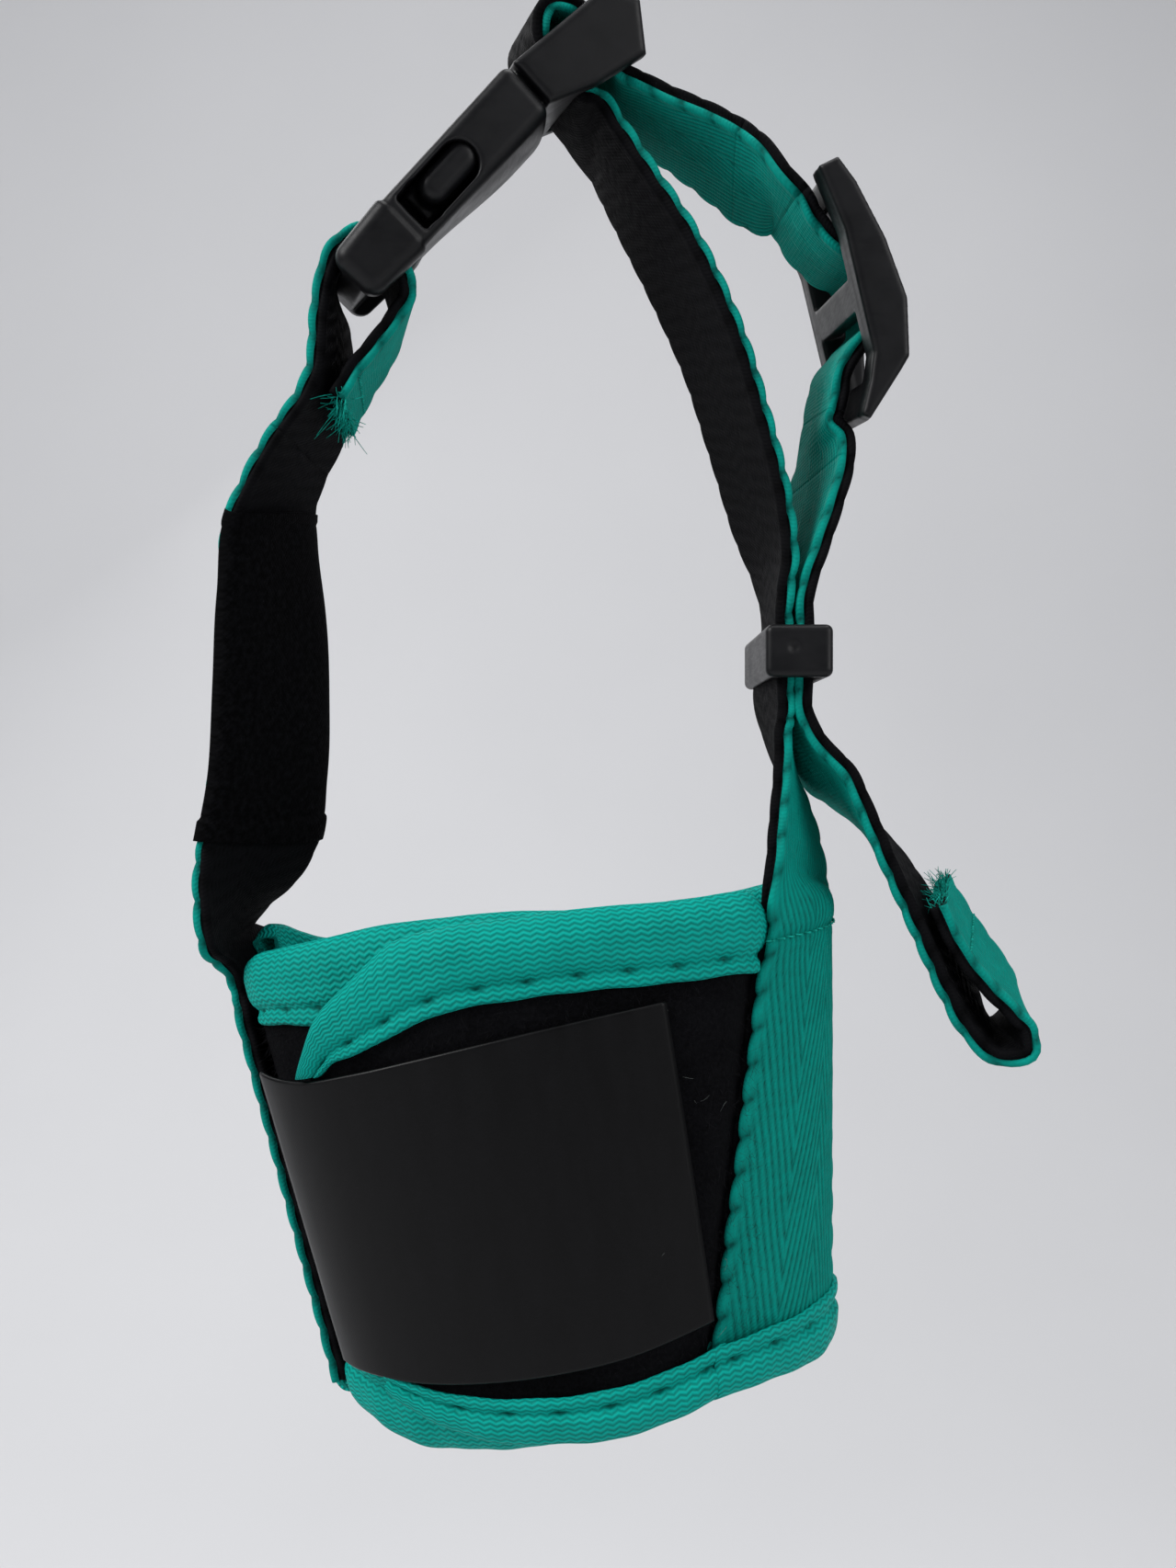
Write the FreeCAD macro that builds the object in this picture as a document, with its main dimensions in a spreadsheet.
import FreeCAD, Part
import math
import os
import Sketcher
from FreeCAD import Placement, Rotation, Vector

# A fabric sleeve muzzle hanging by its buckle.  Millimetres, +Z up, +X to the wearer's
# closing side, -Y towards the front flap.  The origin is the point that a peg or hook
# holds, just under the joint of the side-release buckle.

DIMENSIONS = [
    ("webbing_width", 15.0),
    ("webbing_thickness", 1.6),
    ("slot_half_width", 8.3),
    ("muzzle_tilt", 7.5),
    ("muzzle_centre_x", -3.4),
    ("muzzle_centre_z", -88.0),
    ("muzzle_half_width", 28.8),
    ("muzzle_half_depth", 12.5),
    ("width_taper", 0.13),
    ("depth_taper", 0.065),
    ("panel_thickness", 1.6),
    ("patch_thickness", 0.6),
    ("tab_thickness", 0.8),
    ("buckle_angle", 47.5),
    ("buckle_tilt", 18.0),
    ("buckle_mouth_x", -5.19),
    ("buckle_mouth_z", 2.08),
    ("female_length", 26.8),
    ("female_width", 22.0),
    ("female_thickness", 7.0),
    ("cavity_depth", 18.5),
    ("cavity_width", 19.0),
    ("cavity_height", 4.6),
    ("window_start", 8.0),
    ("window_end", 18.2),
    ("window_height", 4.6),
    ("end_slot_start", 19.9),
    ("end_slot_end", 22.8),
    ("end_bar_thickness", 3.0),
    ("male_width", 20.0),
    ("male_bar_radius", 1.4),
    ("tongue_length", 14.0),
    ("tongue_width", 4.8),
    ("tongue_thickness", 3.0),
    ("arm_thickness", 3.4),
    ("slider_angle", 74.7),
    ("slider_skew", 8.0),
    ("slider_x", 29.56),
    ("slider_z", -19.89),
    ("slider_width", 24.0),
    ("slider_bar_half", 1.7),
    ("keeper_x", 24.55),
    ("keeper_z", -57.6),
    ("keeper_outer_x", 6.9),
    ("keeper_outer_y", 20.0),
    ("keeper_inner_x", 4.7),
    ("keeper_height", 5.4),
]

doc = FreeCAD.newDocument("FabricMuzzle")
sheet = doc.addObject("Spreadsheet::Sheet", "Dimensions")
for row, (alias, value) in enumerate(DIMENSIONS, 1):
    sheet.set(f"A{row}", alias)
    sheet.set(f"B{row}", str(value))
    sheet.setAlias(f"B{row}", alias)
doc.recompute()


def size(alias):
    """A driving dimension read from the spreadsheet."""
    return float(sheet.get(alias))


# ---------------------------------------------------------------- places


def on_muzzle(angle, height, offset):
    """A point on the muzzle's tapered oval: angle round it, height from its rim, offset
    out from its lining.  0 is the right end, 90 the back and -90 the front."""
    half_width = size("muzzle_half_width") + size("width_taper") * height + offset
    half_depth = size("muzzle_half_depth") + size("depth_taper") * height + offset
    across = half_width * math.cos(math.radians(angle))
    back = half_depth * math.sin(math.radians(angle))
    tilt = math.radians(size("muzzle_tilt"))
    right = Vector(math.cos(tilt), 0, math.sin(tilt))
    up = Vector(-math.sin(tilt), 0, math.cos(tilt))
    centre = Vector(size("muzzle_centre_x"), 0, size("muzzle_centre_z"))
    return centre + right * across + up * height + Vector(0, back, 0)


def buckle_placement():
    """The buckle's own frame: x along it towards the male end, y back across it and z across
    its thickness.  It hangs with its front edge lower than its back edge."""
    mouth = Vector(size("buckle_mouth_x"), 0, size("buckle_mouth_z"))
    lean = Rotation(Vector(1, 0, 0), size("buckle_tilt"))
    return Placement(mouth, Rotation(Vector(0, 1, 0), -size("buckle_angle")).multiply(lean))


def slider_placement():
    """The slider's own frame: x down along the strap, z out through its convex face.  It sits
    askew on the strap, its back end higher."""
    centre = Vector(size("slider_x"), 0, size("slider_z"))
    skew = Rotation(Vector(0, 0, 1), size("slider_skew"))
    return Placement(centre, Rotation(Vector(0, 1, 0), size("slider_angle")).multiply(skew))


def at(x, y, z, roll=0.0):
    """A strap station in the model's frame."""
    return Vector(x, y, z), roll


def on_buckle(along, across):
    """A strap station in the buckle's frame, with its edges square to the buckle."""
    place = buckle_placement()
    return place.multVec(Vector(along, 0, across)), place.Rotation.multVec(Vector(0, -1, 0))


def on_slider(along, out):
    """A strap station in the slider's frame, with its edges square to the slider."""
    place = slider_placement()
    return place.multVec(Vector(along, 0, out)), place.Rotation.multVec(Vector(0, -1, 0))


# ---------------------------------------------------------------- soft solids


def solid_through(sections):
    """A closed solid skinned with flat triangles through loops of matching corners."""
    faces = []
    corners = len(sections[0])
    for near, far in zip(sections, sections[1:]):
        for i in range(corners):
            j = (i + 1) % corners
            for triangle in ((near[i], near[j], far[j]), (near[i], far[j], far[i])):
                faces.append(Part.Face(Part.makePolygon([*triangle, triangle[0]])))
    for loop in (sections[0], sections[-1]):
        for triangle in ((loop[0], loop[1], loop[2]), (loop[0], loop[2], loop[3])):
            faces.append(Part.Face(Part.makePolygon([*triangle, triangle[0]])))
    shell = Part.Shell(faces)
    solid = Part.Solid(shell)
    if solid.Volume < 0:
        solid.reverse()
    return solid


def ribbon_sections(stations, width, thickness):
    """Cross-sections of a flat strap: roll turns its near edge about its run, or is the
    direction of that edge."""
    sections = []
    last = len(stations) - 1
    for i, (centre, roll) in enumerate(stations):
        run = stations[min(i + 1, last)][0] - stations[max(i - 1, 0)][0]
        run.normalize()
        side = Vector(run.z, 0, -run.x)
        side.normalize()
        edge = roll
        if not isinstance(roll, Vector):
            turn = math.radians(roll)
            edge = Vector(0, -math.cos(turn), 0) + side * math.sin(turn)
        edge = edge - run * edge.dot(run)
        edge.normalize()
        face = run.cross(edge)
        half = edge * (width / 2)
        thick = face * (thickness / 2)
        sections.append([centre - half - thick, centre + half - thick,
                         centre + half + thick, centre - half + thick])
    return sections


def webbing(stations, width=None, thickness=None):
    """A run of strap webbing through its stations."""
    width = width or size("webbing_width")
    thickness = thickness or size("webbing_thickness")
    return solid_through(ribbon_sections(stations, width, thickness))


def wall(stations):
    """A curved fabric wall on the muzzle.  Each station is its lower angle and height,
    its upper angle and height, and its inner and outer offset from the lining."""
    sections = []
    for low_angle, low, high_angle, high, inner, outer in stations:
        sections.append([on_muzzle(low_angle, low, inner), on_muzzle(low_angle, low, outer),
                         on_muzzle(high_angle, high, outer), on_muzzle(high_angle, high, inner)])
    return solid_through(sections)


def layer(stations, inner, outer):
    """A wall of even thickness: stations hold its lower and upper angle and height."""
    return wall([(*station, inner, outer) for station in stations])


def upright(angles, low, high, inner, outer):
    """A wall with level edges over a list of angles."""
    return layer([(angle, low, angle, high) for angle in angles], inner, outer)


def soft_part(label, shape):
    """A sub-part made of a worked-out shape."""
    part = doc.addObject("Part::Feature", label)
    part.Shape = shape
    part.Label = label
    return part


def steps(first, last, count):
    """Evenly spaced values with both ends."""
    return [first + (last - first) * i / (count - 1) for i in range(count)]


# ---------------------------------------------------------------- muzzle sleeve

# Layers of the sleeve, out from its lining: panel, hook-and-loop pair, outer flap, tab.
PANEL = (0.0, 1.5)
LOOP_PATCH = (1.8, 2.3)
HOOK_PATCH = (2.6, 3.1)
OUTER_FLAP = (3.5, 4.9)
TAB = (5.3, 6.1)
SIDE_WEBBING = (2.0, 3.5)
INNER_BINDING = (0.0, 2.6)
OUTER_BINDING = (3.1, 6.1)


def dip(angle):
    """How far the back rim sags below the front one: most at the middle of the back."""
    share = min(max((angle - 8) / 136, 0.0), 1.0)
    return 2.6 * math.sin(math.pi * share) ** 0.7


def back_panel():
    rows = [(angle, -41.8, angle, -5.3 - dip(angle)) for angle in steps(-25, 153, 19)]
    return layer(rows, *PANEL)


def inner_flap():
    return upright(steps(-206, -75, 14), -41.8, -5.3, *PANEL)


def loop_patch():
    return upright(steps(-136, -82, 9), -37.0, -12.0, *LOOP_PATCH)


def hook_patch():
    return upright(steps(-126, -84, 9), -35.0, -13.0, *HOOK_PATCH)


def outer_flap():
    outline = [
        (-62, -41.3, -44.5, -5.3), (-72, -42.4, -58, -4.8), (-84, -43.2, -74, -4.4),
        (-96, -43.5, -90, -4.0), (-107, -43.0, -104, -4.6), (-117, -42.3, -117, -7.0),
        (-126, -41.8, -127, -9.2), (-135, -41.0, -136, -10.0),
    ]
    return layer(outline, *OUTER_FLAP)


def outer_flap_top_binding():
    outline = [
        (-44.5, -5.1, -43, 3.1), (-58, -4.6, -58, 3.4), (-74, -4.2, -74, 3.8),
        (-90, -3.8, -90, 4.1), (-104, -4.4, -104, 3.8), (-113, -5.8, -113, 2.8),
        (-120, -7.2, -119, 0.6), (-127, -8.3, -130, -3.7), (-131, -8.9, -136.5, -8.6),
    ]
    return layer(outline, *OUTER_BINDING)


def outer_flap_bottom_binding():
    outline = [
        (-61.5, -46.4, -61.5, -41.6), (-72, -48.0, -72, -42.7), (-84, -48.7, -84, -43.5),
        (-96, -48.6, -96, -43.8), (-107, -48.0, -107, -43.3), (-117, -46.5, -117, -42.6),
        (-126, -44.6, -126, -42.1), (-131, -43.0, -131, -41.7),
    ]
    return layer(outline, *OUTER_BINDING)


def inner_flap_top_binding():
    outline = [
        (-163, -4.9, -163, 1.6), (-152, -4.9, -152, 2.8), (-140, -4.9, -140, 3.5),
        (-128, -4.9, -128, 4.0), (-113, -4.9, -113, 4.6), (-102, -4.9, -102, 4.6),
        (-90, -4.9, -90, 4.2), (-78, -4.9, -78, 3.6),
    ]
    tucked = [(-172, -5.0, -172, 1.0, 0.0, 1.4)]
    return wall(tucked + [(*row, *INNER_BINDING) for row in outline])


def inner_flap_bottom_binding():
    outline = [
        (-184, -46.0, -184, -42.2), (-165, -47.5, -165, -42.2), (-150, -48.8, -150, -42.2),
        (-138, -50.0, -138, -42.2), (-120, -50.3, -120, -42.2), (-105, -50.2, -105, -42.2),
        (-90, -49.6, -90, -42.2), (-78, -49.0, -78, -42.2),
    ]
    return layer(outline, *INNER_BINDING)


def back_top_binding():
    """Rolled binding along the back rim; it thins where it runs in under the left strap."""
    full = [(angle, -5.0 - dip(angle), angle, 3.4 - dip(angle), -0.4, 2.6) for angle in steps(12, 134, 11)]
    tucked = [(angle, -5.0, angle, 4.0, 0.0, 1.4) for angle in steps(139, 160, 5)]
    return wall(full + tucked)


def back_bottom_binding():
    """Binding round the nose end, over the lower ends of both side webbings."""
    return upright(steps(-58, 172, 24), -47.0, -42.0, 0.0, 4.4)


def side_webbing(top_first, top_last, low_first, low_last):
    """Webbing sewn up one side: wider in angle at the nose end, where the oval is small."""
    count = 9
    rows = []
    for top, low in zip(steps(top_first, top_last, count), steps(low_first, low_last, count)):
        rows.append((low, -41.8, top, 1.0))
    return layer(rows, *SIDE_WEBBING)


def closing_tab():
    """Smooth tab over the outer flap; its free end steps down on to the inner flap."""
    even = [(-66, -38.8, -71, -6.4), (-80, -40.3, -82, -6.9), (-95, -41.0, -96, -7.6),
            (-110, -41.2, -110, -8.6), (-124, -41.0, -124, -9.6), (-134, -40.6, -136, -10.2)]
    rows = [(*row, *TAB) for row in even]
    rows.append((-142, -40.4, -146, -9.9, 3.7, 4.5))
    rows.append((-149, -40.2, -155, -9.6, 2.2, 3.0))
    return wall(rows)


# ---------------------------------------------------------------- straps

LEFT_STRAP = [
    at(-35.3, 1.5, -89.3, 3), at(-35.4, 0.5, -87.0, -14), at(-34.7, 0.0, -83.7, -32),
    at(-33.1, -0.5, -79.2, -46), at(-31.9, -1.0, -75.7, -50), at(-30.9, -1.0, -66.7, -48),
    at(-30.3, -1.0, -56.7, -42), at(-30.4, -1.0, -46.7, -32), at(-30.5, -1.0, -41.7, -26),
    at(-29.7, -0.5, -37.7, -20), at(-27.9, 0.0, -34.1, -16),
]
SLEEVE_RUN = LEFT_STRAP[3:9]

LEFT_LOOP = [
    at(-27.2, 0.0, -32.7, -16), at(-26.2, 0.0, -30.1, -14), at(-26.0, 0.0, -26.2, -12),
    at(-26.3, -0.2, -21.7, -12), on_buckle(-28.6, 2.0), on_buckle(-25.7, 3.1),
    on_buckle(-23.6, 3.2), on_buckle(-22.2, 2.6), on_buckle(-21.45, 1.3), on_buckle(-21.35, 0.0),
    on_buckle(-21.45, -1.4), on_buckle(-22.0, -2.9), at(-17.4, 1.5, -18.7, -17),
    at(-18.7, 1.3, -22.3, -16), at(-20.7, 1.0, -25.5, -15), at(-22.8, 0.7, -28.4, -13),
    at(-24.6, 0.5, -31.3, -10),
]

STANDING_STRAP = [
    at(25.2, -4.0, -81.1, -28), at(25.2, -3.0, -76.7, -23), at(24.8, -1.5, -71.2, -13),
    at(23.9, -0.4, -66.7, -3), at(23.45, 0.0, -63.7, 0), at(23.45, 0.0, -51.2, 0),
    at(23.22, 0.0, -47.9, 5.6),
]
LEANING_STRAP = [
    at(23.17, 0.0, -47.5, 6.4), at(22.1, 0.0, -43.2, 12), at(19.5, 0.0, -33.7, 15),
    at(16.1, 0.0, -23.3, 15), at(12.3, 0.3, -14.9, 14), at(8.5, 0.7, -8.1, 10),
    at(5.7, 1.2, -3.1, 7), at(4.1, 1.6, -0.3, 6),
]

BAR_LOOP = [
    at(3.85, 1.65, 0.1, 6), on_buckle(4.6, -6.1), on_buckle(4.9, -4.0), on_buckle(4.95, 0.4),
    on_buckle(5.4, 2.7), on_buckle(6.9, 4.0), on_buckle(8.7, 3.9), on_buckle(9.9, 2.5),
    on_buckle(10.2, -0.2), on_buckle(10.15, -4.2), at(6.8, 1.8, 3.9, 2), at(9.4, 1.35, 2.1, 1),
]

RETURN_STRAP = [
    at(9.8, 1.28, 1.8, 1), at(12.3, 0.85, 0.1, -1), at(16.8, 0.0, -3.0, -6),
    at(20.3, -0.9, -5.8, -8), at(21.6, -1.3, -6.7, -6),
]
SLIDER_LEAD_IN = [at(21.95, -1.4, -7.0, -5), on_slider(-13.0, -2.75), on_slider(-11.65, -2.12)]
SLIDER_LOOP = [
    on_slider(-11.2, -1.9), on_slider(-8.6, -1.1), on_slider(-5.4, 0.8),
    on_slider(-3.3, 2.9), on_slider(-1.6, 3.8), on_slider(0.0, 4.0), on_slider(1.6, 3.8),
    on_slider(3.3, 2.8), on_slider(4.7, 0.6), on_slider(6.6, -1.7), on_slider(9.0, -2.9),
    on_slider(10.8, -3.75),
]
SLIDER_LEAD_OUT = [
    on_slider(11.25, -3.97), on_slider(12.6, -4.55), at(28.65, 1.4, -35.5, -11), at(28.5, 1.1, -37.4, -12),
]
HANGING_STRAP = [
    at(28.46, 1.03, -37.9, -12), at(27.6, 0.4, -41.7, -10), at(26.4, 0.05, -46.7, -6),
    at(25.68, 0.0, -51.2, 0), at(25.65, 0.0, -57.6, 0), at(25.65, 0.0, -63.9, 0),
]
TAIL_STRAP = [
    at(25.67, 0.0, -64.3, 0), at(26.9, 0.0, -67.4, -4), at(29.2, 0.0, -70.5, -8),
    at(31.9, 0.0, -73.7, 1), at(35.3, 0.0, -78.3, 12), at(38.4, 0.0, -83.5, 18),
]
TAIL_FOLD = [
    at(38.65, 0.0, -83.9, 18), at(40.8, 0.0, -88.1, 20), at(42.7, 0.0, -92.2, 20),
    at(44.7, 0.0, -96.1, 18), at(46.7, 0.0, -98.6, 11), at(48.6, 0.0, -98.9, 2),
    at(49.7, 0.0, -97.3, -7), at(49.1, 0.0, -94.5, -15), at(46.7, 0.0, -91.3, -19),
    at(44.1, 0.0, -87.9, -20), at(42.1, 0.0, -84.5, -19), at(41.3, 0.0, -82.9, -18),
]


def strap_sleeve():
    """A flat stitched tube round the left strap."""
    outer = webbing(SLEEVE_RUN, 16.2, 3.3)
    start = SLEEVE_RUN[0][0] - SLEEVE_RUN[1][0]
    finish = SLEEVE_RUN[-1][0] - SLEEVE_RUN[-2][0]
    longer = [(SLEEVE_RUN[0][0] + start, SLEEVE_RUN[0][1]), *SLEEVE_RUN,
              (SLEEVE_RUN[-1][0] + finish, SLEEVE_RUN[-1][1])]
    return outer.cut(webbing(longer, 15.5, 2.1))


def tack(label, station, run, lift, length):
    """A bar tack: a thin block of thread across a strap, lifted off the strap's face."""
    (centre, roll), width = station, size("webbing_width") - 3
    run = Vector(*run)
    run.normalize()
    ends = [centre - run * (length / 2), centre + run * (length / 2)]
    sections = ribbon_sections([(end, roll) for end in ends], width, 0.4)
    block = solid_through(sections)
    face = (sections[0][2] - sections[0][1]).normalize()
    return soft_part(label, block.translated(face * lift))


# ---------------------------------------------------------------- moulded parts


def new_body(label):
    body = doc.addObject("PartDesign::Body", label)
    body.Label = label
    return body


def new_sketch(body, role, name):
    """A sketch on one of the body's own origin planes."""
    sketch = body.newObject("Sketcher::SketchObject", f"{body.Label}_{name}")
    plane = next(item for item in body.Origin.OriginFeatures if item.Role == role)
    sketch.AttachmentSupport = (plane, "")
    sketch.MapMode = "FlatFace"
    return sketch


def bind(sketch, index, name, expression):
    sketch.renameConstraint(index, name)
    sketch.setExpression(f"Constraints.{name}", str(expression))


def add_rectangle(sketch, name, left, right, bottom, top):
    """A rectangle whose four sides are expressions measured from the sketch's origin."""
    first = sketch.GeometryCount
    corners = [Vector(-1, -1, 0), Vector(1, -1, 0), Vector(1, 1, 0), Vector(-1, 1, 0)]
    for i in range(4):
        sketch.addGeometry(Part.LineSegment(corners[i], corners[(i + 1) % 4]), False)
    for i in range(4):
        sketch.addConstraint(Sketcher.Constraint("Coincident", first + i, 2, first + (i + 1) % 4, 1))
    for i, direction in enumerate(("Horizontal", "Vertical", "Horizontal", "Vertical")):
        sketch.addConstraint(Sketcher.Constraint(direction, first + i))
    sides = [("left", "DistanceX", 0, left, -1.0), ("right", "DistanceX", 2, right, 1.0),
             ("bottom", "DistanceY", 0, bottom, -1.0), ("top", "DistanceY", 2, top, 1.0)]
    for side, kind, corner, expression, start in sides:
        constraint = Sketcher.Constraint(kind, -1, 1, first + corner, 1, start)
        bind(sketch, sketch.addConstraint(constraint), f"{name}_{side}", expression)


def add_polygon(sketch, points):
    """A closed outline through fixed corners."""
    first = sketch.GeometryCount
    corners = [Vector(x, y, 0) for x, y in points]
    for i, corner in enumerate(corners):
        sketch.addGeometry(Part.LineSegment(corner, corners[(i + 1) % len(corners)]), False)
    for i in range(len(corners)):
        following = first + (i + 1) % len(corners)
        sketch.addConstraint(Sketcher.Constraint("Coincident", first + i, 2, following, 1))
        sketch.addConstraint(Sketcher.Constraint("DistanceX", -1, 1, first + i, 1, points[i][0]))
        sketch.addConstraint(Sketcher.Constraint("DistanceY", -1, 1, first + i, 1, points[i][1]))


def add_pad(body, sketch, length):
    pad = body.newObject("PartDesign::Pad", f"{sketch.Name}_pad")
    pad.Profile = sketch
    pad.Midplane = True
    pad.setExpression("Length", str(length))
    doc.recompute()
    return pad


def add_pocket(body, sketch, length, midplane=True):
    """A pocket that has to take material away."""
    before = body.Shape.Volume
    pocket = body.newObject("PartDesign::Pocket", f"{sketch.Name}_pocket")
    pocket.Profile = sketch
    pocket.Midplane = midplane
    pocket.setExpression("Length", str(length))
    doc.recompute()
    if body.Shape.Volume > before - 0.01:
        raise RuntimeError(f"{pocket.Name} cuts nothing")
    return pocket


def buckle_female():
    """Housing: a flat box open at the mouth, with side windows and a strap bar at its end."""
    body = new_body("buckle_female")
    plan = new_sketch(body, "XY_Plane", "plan")
    add_rectangle(plan, "outline", "-Dimensions.female_length", "-0.3",
                  "-Dimensions.female_width / 2", "Dimensions.female_width / 2")
    add_pad(body, plan, "Dimensions.female_thickness")
    mouth = new_sketch(body, "YZ_Plane", "mouth")
    add_rectangle(mouth, "cavity", "-Dimensions.cavity_width / 2", "Dimensions.cavity_width / 2",
                  "-Dimensions.cavity_height / 2", "Dimensions.cavity_height / 2")
    add_pocket(body, mouth, "Dimensions.cavity_depth", midplane=False)
    windows = new_sketch(body, "XZ_Plane", "windows")
    add_rectangle(windows, "window", "-Dimensions.window_end", "-Dimensions.window_start",
                  "-Dimensions.window_height / 2", "Dimensions.window_height / 2")
    add_pocket(body, windows, "Dimensions.female_width + 10")
    slot = new_sketch(body, "XY_Plane", "end_slot")
    add_rectangle(slot, "slot", "-Dimensions.end_slot_end", "-Dimensions.end_slot_start",
                  "-Dimensions.slot_half_width", "Dimensions.slot_half_width")
    add_pocket(body, slot, "Dimensions.female_thickness + 10")
    relief = new_sketch(body, "XZ_Plane", "bar_relief")
    for name, low, high in (("upper", "Dimensions.end_bar_thickness / 2", "8"),
                            ("lower", "-8", "-Dimensions.end_bar_thickness / 2")):
        add_rectangle(relief, name, "-Dimensions.female_length - 3",
                      "-Dimensions.end_slot_end + 0.1", low, high)
    add_pocket(body, relief, "2 * Dimensions.slot_half_width")
    body.Placement = buckle_placement()
    return body


def buckle_male():
    """Base with a strap slot and bar, and a guide tongue that runs into the housing."""
    body = new_body("buckle_male")
    side = new_sketch(body, "XZ_Plane", "side")
    add_polygon(side, [(0.3, -2.6), (5.4, -4.8), (11.2, -6.3), (14.4, -2.2), (12.4, 1.2), (0.3, 2.7)])
    add_pad(body, side, "Dimensions.male_width")
    slot = new_sketch(body, "XY_Plane", "strap_slot")
    add_rectangle(slot, "slot", "3.8", "11.6", "-Dimensions.slot_half_width",
                  "Dimensions.slot_half_width")
    add_pocket(body, slot, "30")
    bar = new_sketch(body, "XZ_Plane", "bar")
    circle = bar.addGeometry(Part.Circle(Vector(7.6, -1.6, 0), Vector(0, 0, 1), 1.0), False)
    bar.addConstraint(Sketcher.Constraint("DistanceX", -1, 1, circle, 3, 7.6))
    bar.addConstraint(Sketcher.Constraint("DistanceY", -1, 1, circle, 3, -1.6))
    radius = bar.addConstraint(Sketcher.Constraint("Radius", circle, 1.0))
    bind(bar, radius, "bar_radius", "Dimensions.male_bar_radius")
    add_pad(body, bar, "2 * Dimensions.slot_half_width + 1")
    tongue = new_sketch(body, "XY_Plane", "tongue")
    add_rectangle(tongue, "tongue", "-Dimensions.tongue_length", "1.5",
                  "-Dimensions.tongue_width / 2", "Dimensions.tongue_width / 2")
    add_pad(body, tongue, "Dimensions.tongue_thickness")
    body.Placement = buckle_placement()
    return body


def latch_arm(label, side):
    """A springy side arm that ends in a thumb pad; side is -1 at the front, 1 at the back."""
    body = new_body(label)
    plan = new_sketch(body, "XY_Plane", "plan")
    outline = [(-0.1, 6.2), (-7.0, 6.0), (-15.6, 5.6), (-17.2, 6.6), (-16.8, 8.2),
               (-15.0, 9.1), (-10.4, 9.2), (-8.4, 8.8), (-7.4, 7.7), (-0.1, 7.8)]
    add_polygon(plan, [(x, side * y) for x, y in outline])
    add_pad(body, plan, "Dimensions.arm_thickness")
    body.Placement = buckle_placement()
    return body


def strap_slider():
    """Convex three-bar slider: two deep end rails joined by a top, a centre and a low bar."""
    body = new_body("strap_slider")
    side = new_sketch(body, "XZ_Plane", "side")
    add_polygon(side, [(-12.4, -0.9), (-6.0, 0.2), (6.4, 0.2), (9.0, -0.8), (12.1, -2.4), (12.7, -1.6),
                       (8.8, 2.6), (7.7, 3.7), (2.1, 4.8), (-4.1, 4.0), (-10.1, 2.4), (-12.8, 1.2)])
    add_pad(body, side, "Dimensions.slider_width")
    slots = new_sketch(body, "XY_Plane", "slots")
    for name, left, right in (("upper", "-9.4", "-Dimensions.slider_bar_half"),
                              ("lower", "Dimensions.slider_bar_half", "8.7")):
        add_rectangle(slots, name, left, right, "-Dimensions.slot_half_width",
                      "Dimensions.slot_half_width")
    add_pocket(body, slots, "30")
    relief = new_sketch(body, "XZ_Plane", "relief")
    add_rectangle(relief, "outside", "-9.0", "9.0", "2.6", "8")
    add_rectangle(relief, "inside", "-14", "-9.3", "-4", "0.6")
    add_pocket(body, relief, "2 * Dimensions.slot_half_width")
    body.Placement = slider_placement()
    return body


def strap_keeper():
    """Rectangular band that holds two thicknesses of webbing together."""
    body = new_body("strap_keeper")
    plan = new_sketch(body, "XY_Plane", "plan")
    add_rectangle(plan, "outer", "-Dimensions.keeper_outer_x / 2", "Dimensions.keeper_outer_x / 2",
                  "-Dimensions.keeper_outer_y / 2", "Dimensions.keeper_outer_y / 2")
    add_rectangle(plan, "inner", "-Dimensions.keeper_inner_x / 2", "Dimensions.keeper_inner_x / 2",
                  "-Dimensions.slot_half_width", "Dimensions.slot_half_width")
    add_pad(body, plan, "Dimensions.keeper_height")
    body.Placement = Placement(Vector(size("keeper_x"), 0, size("keeper_z")), Rotation())
    return body


# ---------------------------------------------------------------- assembly

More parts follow.
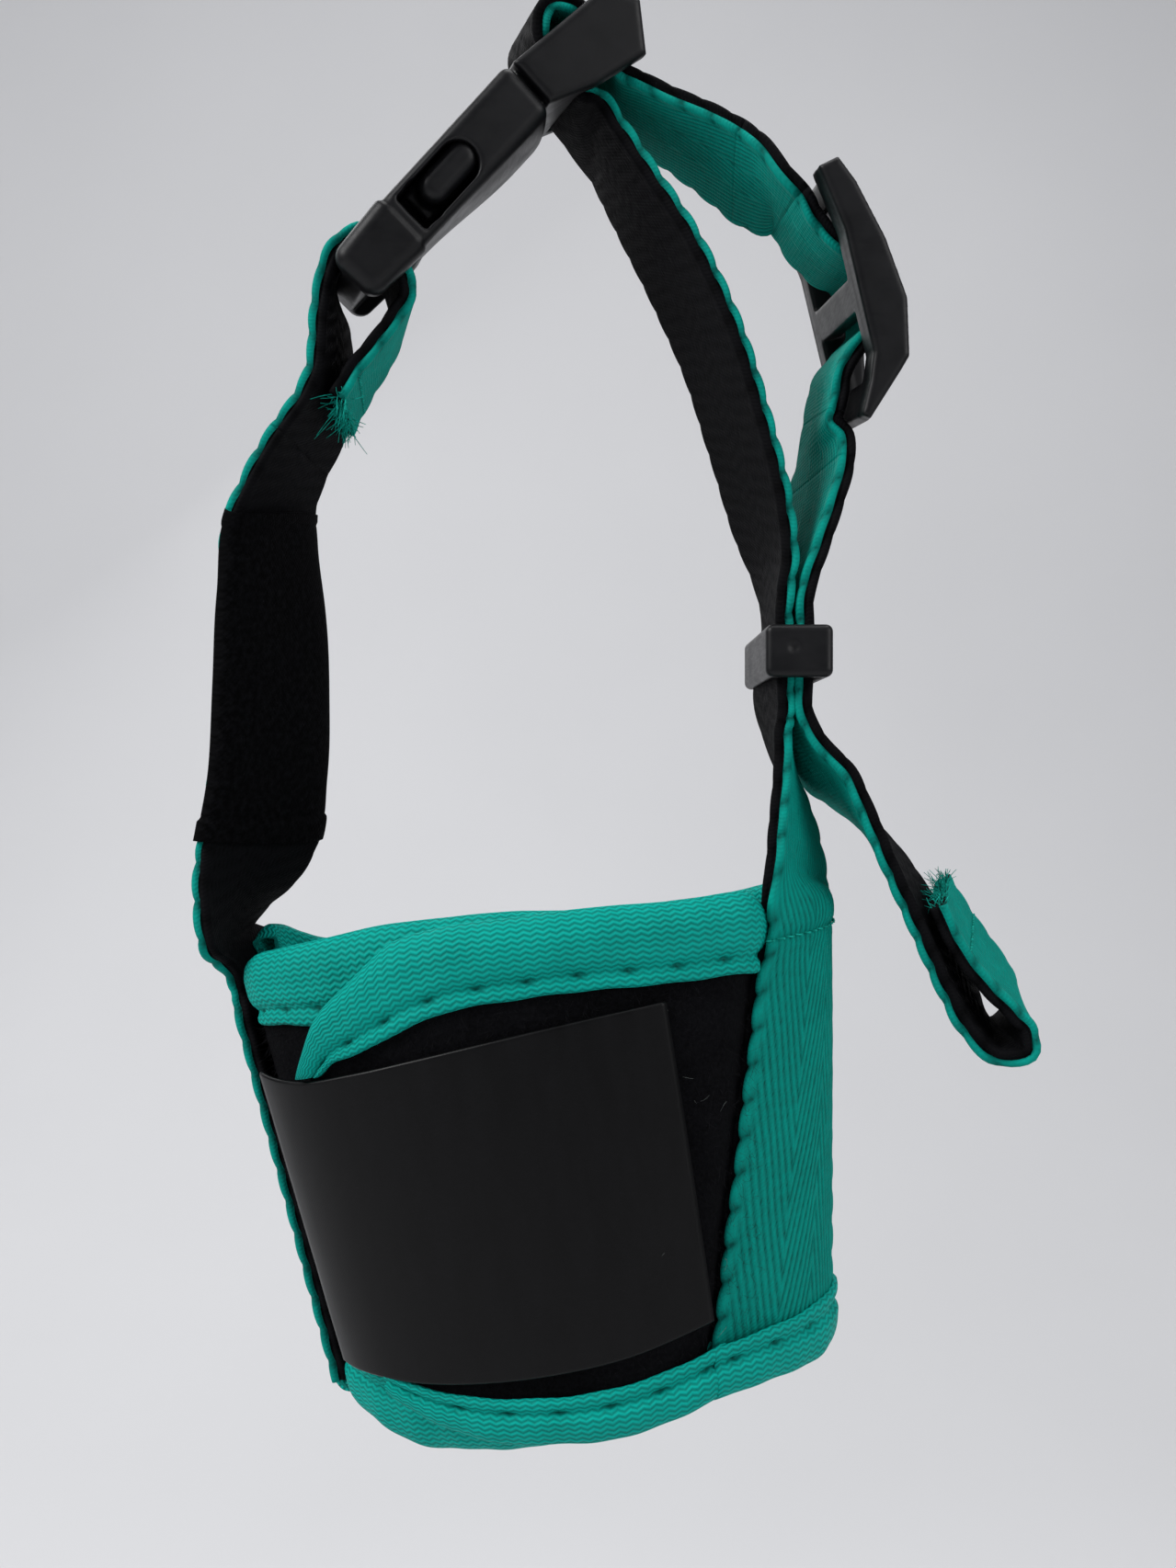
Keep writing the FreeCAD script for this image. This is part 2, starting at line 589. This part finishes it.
SOFT_PARTS = {
    "back_panel": back_panel,
    "inner_flap": inner_flap,
    "loop_patch": loop_patch,
    "hook_patch": hook_patch,
    "outer_flap": outer_flap,
    "closing_tab": closing_tab,
    "outer_flap_top_binding": outer_flap_top_binding,
    "outer_flap_bottom_binding": outer_flap_bottom_binding,
    "inner_flap_top_binding": inner_flap_top_binding,
    "inner_flap_bottom_binding": inner_flap_bottom_binding,
    "back_top_binding": back_top_binding,
    "back_bottom_binding": back_bottom_binding,
    "strap_sleeve": strap_sleeve,
}
STRAPS = {
    "left_strap": LEFT_STRAP,
    "left_buckle_loop": LEFT_LOOP,
    "standing_strap": STANDING_STRAP,
    "leaning_strap": LEANING_STRAP,
    "bar_loop": BAR_LOOP,
    "return_strap": RETURN_STRAP,
    "slider_lead_in": SLIDER_LEAD_IN,
    "slider_loop": SLIDER_LOOP,
    "slider_lead_out": SLIDER_LEAD_OUT,
    "hanging_strap": HANGING_STRAP,
    "tail_strap": TAIL_STRAP,
    "tail_fold": TAIL_FOLD,
}

parts = [soft_part(label, make()) for label, make in SOFT_PARTS.items()]
parts += [soft_part(label, webbing(stations)) for label, stations in STRAPS.items()]
parts.append(soft_part("right_side_webbing", side_webbing(-41, 9, -60, -6)))
parts.append(soft_part("left_side_webbing", side_webbing(139, 187, 131, 186)))
parts += [buckle_female(), buckle_male(), latch_arm("latch_arm_front", -1),
          latch_arm("latch_arm_back", 1), strap_slider(), strap_keeper()]
parts.append(tack("rim_tack", at(25.2, -3.6, -79.7, -26), (0.0, 0.9, 5.0), 1.2, 1.2))
parts.append(tack("loop_tack", at(-22.8, 0.7, -28.4, -13), (-2.0, -0.3, -2.9), -1.5, 1.6))
parts.append(tack("tail_tack", at(44.1, 0.0, -87.9, -20), (-2.4, 0.0, 3.4), 1.15, 2.0))

doc.recompute()
os.makedirs("parts", exist_ok=True)
for item in doc.Objects:
    if "Invalid" in item.State or "Error" in item.State:
        raise RuntimeError(f"{item.Name} failed: {item.State}")
for part in parts:
    if part.Shape.isNull() or not part.Shape.isValid() or part.Shape.Volume <= 0:
        raise RuntimeError(f"{part.Label} has no valid solid")
for part in parts:
    part.Shape.exportStep(f"parts/{part.Label}.step")
print(len(parts), "parts written")
